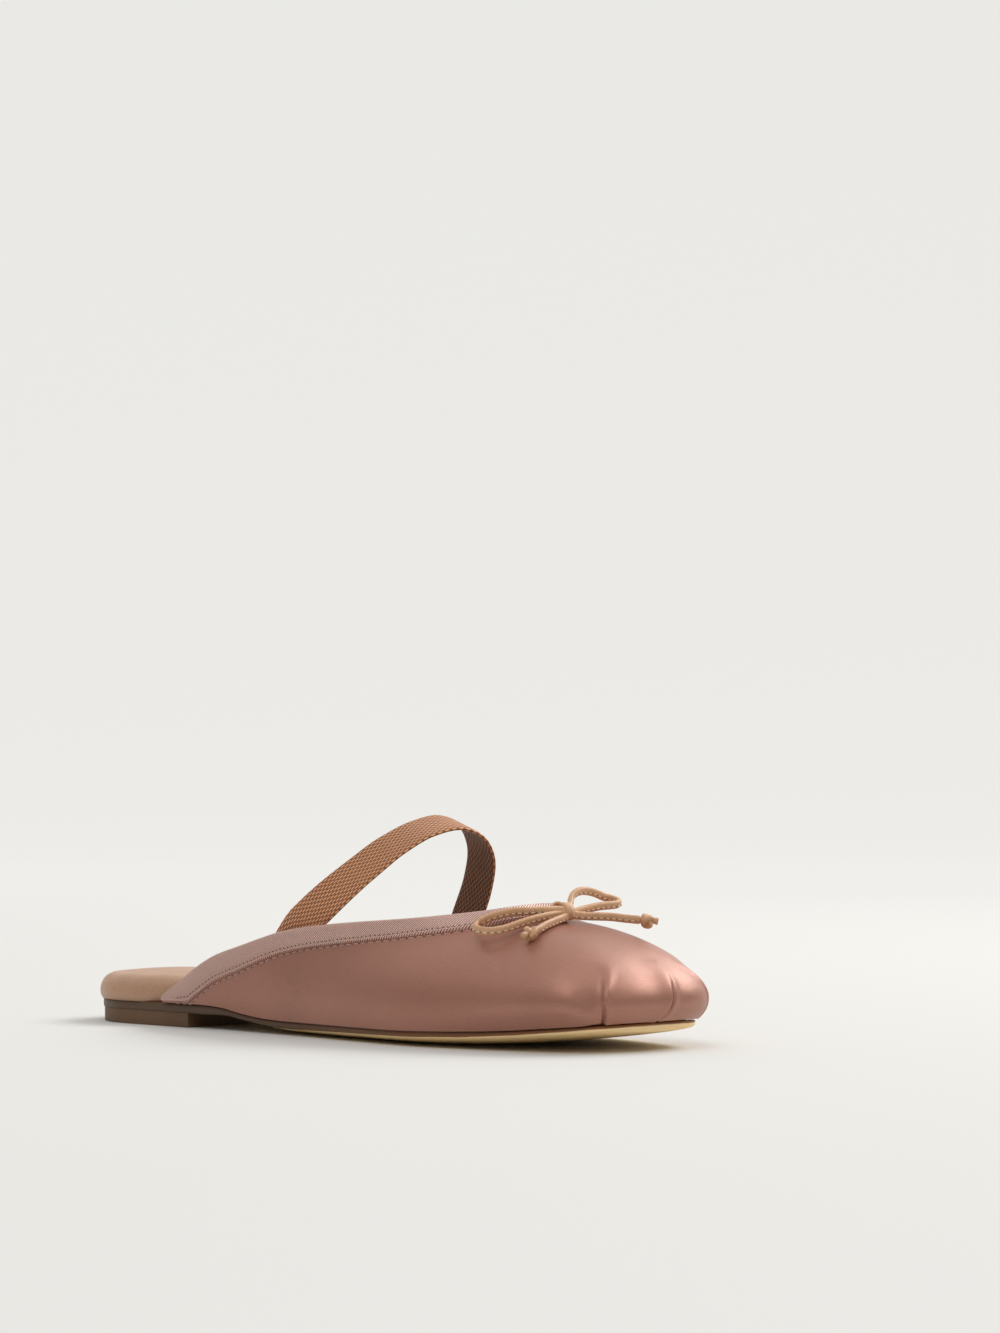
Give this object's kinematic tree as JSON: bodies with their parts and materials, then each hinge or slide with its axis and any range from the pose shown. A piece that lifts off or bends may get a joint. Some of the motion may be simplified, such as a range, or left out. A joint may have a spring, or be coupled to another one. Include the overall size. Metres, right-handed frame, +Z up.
{
  "type": "ballet mule",
  "caption": "Backless satin ballet mule, right shoe: low heel, padded footbed, bound topline, instep strap and lace bow.",
  "frame": {"origin": "middle of the shoe's length and width on the plane that it stands on", "axes": "+X towards the toe, +Y towards the inner (big toe) side, +Z up"},
  "size_m": [0.2552, 0.0798, 0.0735],
  "materials": {
    "sole": "burnished brown edge, natural underside",
    "heel": "burnished dark brown",
    "footbed": "soft tan leather, satin sheen",
    "satin": "dusty rose satin with a soft gloss",
    "tape": "mauve grosgrain tape with fine ribs",
    "webbing": "brown elastic webbing in a basket weave",
    "lace": "folded tan leather lace, soft sheen"
  },
  "bodies": {
    "root": {"outsole": "sole", "heel": "heel", "insole": "footbed", "upper": "satin", "topline_binding": "tape", "instep_strap": "webbing", "bow_knot": "lace", "bow_loop_outer": "lace", "bow_loop_inner": "lace", "bow_tail_outer": "lace", "bow_tail_inner": "lace", "tail_knot_outer": "lace", "tail_knot_inner": "lace"}
  },
  "joints": []
}
